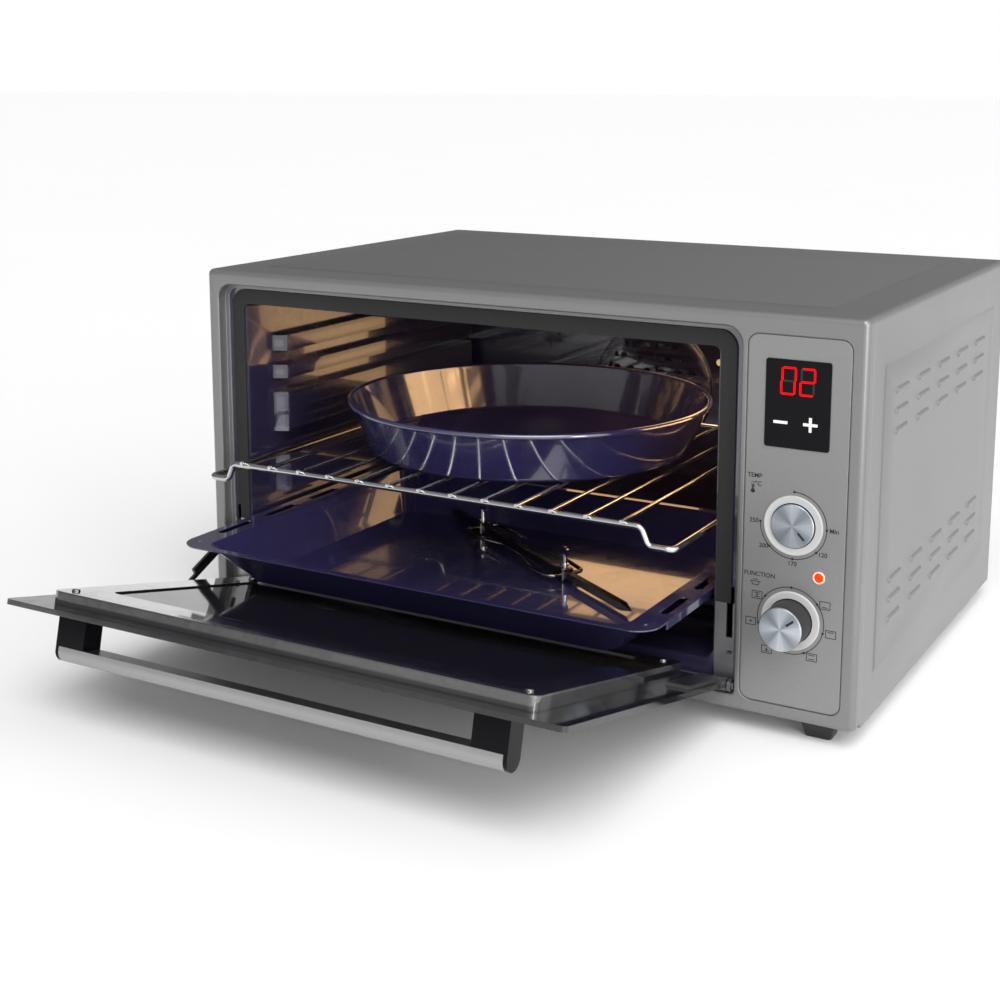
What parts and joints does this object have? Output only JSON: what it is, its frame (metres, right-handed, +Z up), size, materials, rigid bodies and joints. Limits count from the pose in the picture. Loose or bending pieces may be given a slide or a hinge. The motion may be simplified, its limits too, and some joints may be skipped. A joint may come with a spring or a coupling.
{
  "type": "toaster oven",
  "caption": "Countertop toaster oven with a drop-down glass door, side controls, wire rack, round pan, baking tray and rotisserie spit.",
  "frame": {"origin": "on the worktop, below the middle of all that the oven covers with its door open, pan, tray and handle included", "axes": "+Z up, -Y out of the door, +X towards the controls"},
  "size_m": [0.5948, 0.705, 0.319],
  "materials": {
    "steel_silver": "satin silver enamel",
    "bare_steel": "pressed bright steel",
    "black_plastic": "moulded, fine texture",
    "gloss_black": "gloss",
    "panel_steel": "satin silver",
    "clear_lens": "tinted lens",
    "chrome": "polished",
    "knob_silver": "spun, satin",
    "shaft_steel": "turned",
    "enamel_blue": "vitreous enamel, dark blue",
    "seal": "woven glass fibre",
    "door_glass": "tempered",
    "handle_silver": "brushed",
    "pan_enamel": "gloss enamel, dark blue",
    "element_sheath": "heat-dulled steel",
    "blanket": "glass wool",
    "lamp_glass": "clear",
    "board_green": "circuit board",
    "brass": "plain"
  },
  "bodies": {
    "housing": {"base_plate": "bare_steel", "case_screws": "shaft_steel", "cavity_liner": "enamel_blue", "control_panel": "panel_steel", "cord_inlet": "black_plastic", "display_window": "gloss_black", "door_seal": "seal", "fan_guard": "enamel_blue", "fan_motor": "bare_steel", "fan_shroud": "bare_steel", "feet": "black_plastic", "front_frame": "steel_silver", "function_dial_ring": "chrome", "function_switch": "black_plastic", "heat_shield": "bare_steel", "hinge_pins": "shaft_steel", "hinge_plate_left": "bare_steel", "hinge_plate_right": "bare_steel", "hinge_springs": "shaft_steel", "housing_wrapper": "steel_silver", "indicator_lamp": "clear_lens", "insulation": "blanket", "lamp_glass": "lamp_glass", "lower_element": "element_sheath", "oven_lamp": "bare_steel", "rear_cover": "bare_steel", "rotisserie_motor": "bare_steel", "spit_rest": "bare_steel", "temperature_dial_ring": "chrome", "temperature_probe": "brass", "terminal_block": "black_plastic", "thermostat": "bare_steel", "timer_board": "board_green", "upper_element": "element_sheath"},
    "door": {"door_outer_glass": "door_glass", "door_frame": "enamel_blue", "door_inner_glass": "door_glass", "door_screws": "shaft_steel", "handle_bar": "handle_silver", "handle_bracket_left": "gloss_black", "handle_bracket_right": "gloss_black", "door_lug_left": "bare_steel", "door_lug_right": "bare_steel"},
    "left_arm": {"hinge_arm_left": "bare_steel"},
    "rack": {"wire_rack": "chrome"},
    "pan": {"round_pan": "pan_enamel"},
    "tray": {"baking_tray": "pan_enamel"},
    "spit": {"spit_rod": "chrome"},
    "front_fork": {"front_fork": "chrome"},
    "rear_fork": {"rear_fork": "chrome"},
    "front_screw": {"front_fork_screw": "chrome"},
    "rear_screw": {"rear_fork_screw": "chrome"},
    "temperature_shaft": {"temperature_shaft": "shaft_steel"},
    "temperature_knob": {"temperature_knob": "knob_silver"},
    "function_shaft": {"function_shaft": "shaft_steel"},
    "function_knob": {"function_knob": "knob_silver"},
    "fan": {"fan_wheel": "bare_steel"},
    "spit_drive": {"spit_drive": "shaft_steel"}
  },
  "joints": [
    {"name": "door_hinge", "type": "hinge", "parent": "housing", "child": "door", "pos_m": [-0.0405, -0.08946, 0.033], "axis": [-1, 0, 0], "range_deg": [0, 76.7]},
    {"name": "left_arm_pivot", "type": "hinge", "parent": "door", "child": "left_arm", "pos_m": [-0.2749, -0.14744, 0.05287], "axis": [1, 0, 0], "range_deg": [0, 52.4]},
    {"name": "rack_slide", "type": "slide", "parent": "housing", "child": "rack", "axis": [0, 1, 0], "range_m": [0, 0.09]},
    {"name": "tray_slide", "type": "slide", "parent": "housing", "child": "tray", "axis": [0, 1, 0], "range_m": [0, 0.156]},
    {"name": "pan_lift", "type": "slide", "parent": "rack", "child": "pan", "axis": [0, 0, 1], "range_m": [0, 0.012]},
    {"name": "spit_lift", "type": "slide", "parent": "tray", "child": "spit", "axis": [0, 0, 1], "range_m": [0, 0.02]},
    {"name": "front_fork_slide", "type": "slide", "parent": "spit", "child": "front_fork", "axis": [-0.8387, 0.5446, 0], "range_m": [-0.03, 0.01]},
    {"name": "rear_fork_slide", "type": "slide", "parent": "spit", "child": "rear_fork", "axis": [-0.8387, 0.5446, 0], "range_m": [-0.01, 0.025]},
    {"name": "front_screw_turn", "type": "hinge", "parent": "front_fork", "child": "front_screw", "pos_m": [0.0214, -0.01842, 0.08], "axis": [0, 0, 1], "continuous": true},
    {"name": "rear_screw_turn", "type": "hinge", "parent": "rear_fork", "child": "rear_screw", "pos_m": [-0.10775, 0.06545, 0.08], "axis": [0, 0, 1], "continuous": true},
    {"name": "temperature_turn", "type": "hinge", "parent": "housing", "child": "temperature_shaft", "pos_m": [0.2445, -0.08446, 0.164], "axis": [0, 1, 0], "range_deg": [-135, 135]},
    {"name": "temperature_pop", "type": "slide", "parent": "temperature_shaft", "child": "temperature_knob", "axis": [0, -1, 0], "range_m": [0, 0.02]},
    {"name": "function_turn", "type": "hinge", "parent": "housing", "child": "function_shaft", "pos_m": [0.2445, -0.08446, 0.0923], "axis": [0, 1, 0], "continuous": true},
    {"name": "function_pop", "type": "slide", "parent": "function_shaft", "child": "function_knob", "axis": [0, -1, 0], "range_m": [-0.02, 0]},
    {"name": "fan_spin", "type": "hinge", "parent": "housing", "child": "fan", "pos_m": [-0.0405, 0.29555, 0.173], "axis": [0, 1, 0], "continuous": true},
    {"name": "spit_drive_spin", "type": "hinge", "parent": "housing", "child": "spit_drive", "pos_m": [0.19, 0.10855, 0.185], "axis": [1, 0, 0], "continuous": true}
  ],
  "couplings": [
    {"joint": "left_arm_pivot", "follows": "door_hinge", "ratio": 0.68317},
    {"joint": "rack_slide", "follows": "door_hinge", "m_per_rad": 0.067231},
    {"joint": "tray_slide", "follows": "door_hinge", "m_per_rad": 0.11653}
  ]
}
